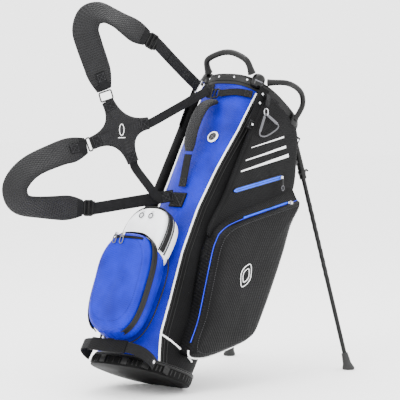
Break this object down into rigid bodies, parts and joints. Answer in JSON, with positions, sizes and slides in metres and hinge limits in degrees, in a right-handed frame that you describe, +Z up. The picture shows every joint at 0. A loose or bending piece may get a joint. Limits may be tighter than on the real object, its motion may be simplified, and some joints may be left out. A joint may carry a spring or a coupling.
{
  "type": "golf stand bag",
  "caption": "Golf bag standing open on two folding legs, with a club divider in its mouth, zipped pockets, top handles and a padded double shoulder strap.",
  "frame": {"origin": "on the ground under the heel edge of the base, on the bag's plane of symmetry", "axes": "+Z up; +X from the heel towards the legs, the way the bag leans; -Y is the near side with the towel ring"},
  "size_m": [0.9292, 0.4858, 1.0169],
  "materials": {
    "black_fabric": "woven nylon, black",
    "blue_fabric": "ribbed nylon, blue",
    "white_fabric": "coated fabric, white",
    "webbing": "woven strap",
    "plastic": "moulded, satin",
    "grey_plastic": "moulded, satin",
    "steel": "plated",
    "painted_leg": "painted aluminium",
    "rubber": "moulded"
  },
  "bodies": {
    "bag": {"tube_shell": "blue_fabric", "base_cup": "plastic", "heel_pin": "steel", "top_collar": "plastic", "club_divider": "plastic", "front_handle": "plastic", "side_handle_near": "plastic", "side_handle_far": "plastic", "ball_pocket": "blue_fabric", "valuables_pocket": "white_fabric", "flash_zip_track": "plastic", "side_zip_track": "plastic", "side_pocket_near": "black_fabric", "side_pocket_far": "black_fabric", "leg_bracket_near": "plastic", "leg_bracket_far": "plastic", "pivot_pin_near": "steel", "pivot_pin_far": "steel", "rod_guide_lower": "plastic", "rod_guide_upper": "plastic", "carry_grip": "black_fabric", "carry_webbing": "webbing", "base_grab_handle": "webbing", "cable_port": "plastic", "towel_tab": "webbing", "towel_d_ring": "steel", "bungee_cord": "rubber", "cord_lock": "plastic", "shoulder_pad_upper": "black_fabric", "shoulder_pad_lower": "black_fabric", "yoke_pad": "black_fabric", "yoke_ring_upper": "plastic", "yoke_ring_lower": "plastic", "ladder_buckle_upper": "plastic", "ladder_buckle_lower": "plastic", "shoulder_web_upper": "webbing", "top_ring": "steel", "top_anchor_tab": "webbing", "shoulder_web_lower": "webbing", "yoke_web_lower": "webbing", "spine_anchor": "black_fabric", "yoke_web_upper": "webbing", "tri_glide": "plastic", "yoke_anchor_web": "webbing"},
    "leg_near": {"leg_sleeve_near": "plastic", "leg_tube_near": "painted_leg", "leg_foot_near": "rubber"},
    "leg_far": {"leg_sleeve_far": "plastic", "leg_tube_far": "painted_leg", "leg_foot_far": "rubber"},
    "push_rod": {"actuator_rod": "steel", "actuator_yoke": "plastic"},
    "heel": {"stand_heel": "plastic"},
    "towel_loop": {"towel_ring": "grey_plastic"},
    "flash_slider": {"flash_zip_slider": "steel"},
    "side_slider": {"side_zip_slider": "steel"},
    "ball_pull_a": {"ball_zip_pull_a": "grey_plastic"},
    "ball_pull_b": {"ball_zip_pull_b": "grey_plastic"},
    "valuables_loop_a": {"valuables_pull_a": "steel"},
    "valuables_loop_b": {"valuables_pull_b": "steel"}
  },
  "joints": [
    {"name": "leg_near_fold", "type": "hinge", "parent": "bag", "child": "leg_near", "pos_m": [0.48001, -0.067, 0.64015], "axis": [0.3188, 0.9302, -0.1818], "range_deg": [0, 40.8]},
    {"name": "leg_far_fold", "type": "hinge", "parent": "bag", "child": "leg_far", "pos_m": [0.48001, 0.067, 0.64015], "axis": [-0.3188, 0.9302, 0.1818], "range_deg": [0, 40.8]},
    {"name": "heel_tilt", "type": "hinge", "parent": "bag", "child": "heel", "pos_m": [-0.0075, 0, 0.0105], "axis": [0, 1, 0], "range_deg": [0, 21.3]},
    {"name": "push_rod_slide", "type": "slide", "parent": "bag", "child": "push_rod", "axis": [-0.5683, 0, -0.8228], "range_m": [0, 0.012]},
    {"name": "towel_ring_swing", "type": "hinge", "parent": "bag", "child": "towel_loop", "pos_m": [0.25115, -0.1415, 0.72498], "axis": [-1, 0, 0], "range_deg": [0, 150]},
    {"name": "flash_zip_slide", "type": "slide", "parent": "bag", "child": "flash_slider", "axis": [-0.9925, 0, -0.1225], "range_m": [0, 0.1954]},
    {"name": "side_zip_slide", "type": "slide", "parent": "bag", "child": "side_slider", "axis": [-0.9896, 0, -0.144], "range_m": [0, 0.1888]},
    {"name": "ball_pull_a_swing", "type": "hinge", "parent": "bag", "child": "ball_pull_a", "pos_m": [-0.16113, 0.04, 0.41692], "axis": [0, 1, 0], "range_deg": [0, 140]},
    {"name": "ball_pull_b_swing", "type": "hinge", "parent": "bag", "child": "ball_pull_b", "pos_m": [-0.16113, 0.016, 0.41692], "axis": [0, 1, 0], "range_deg": [0, 140]},
    {"name": "valuables_pull_a_swing", "type": "hinge", "parent": "bag", "child": "valuables_loop_a", "pos_m": [-0.07584, 0.02, 0.47019], "axis": [0, 1, 0], "range_deg": [0, 140]},
    {"name": "valuables_pull_b_swing", "type": "hinge", "parent": "bag", "child": "valuables_loop_b", "pos_m": [-0.07584, -0.012, 0.47019], "axis": [0, 1, 0], "range_deg": [0, 140]}
  ],
  "couplings": [
    {"joint": "leg_far_fold", "follows": "leg_near_fold", "ratio": 1},
    {"joint": "heel_tilt", "follows": "leg_near_fold", "ratio": 0.51961},
    {"joint": "push_rod_slide", "follows": "leg_near_fold", "m_per_rad": 0.01671}
  ]
}
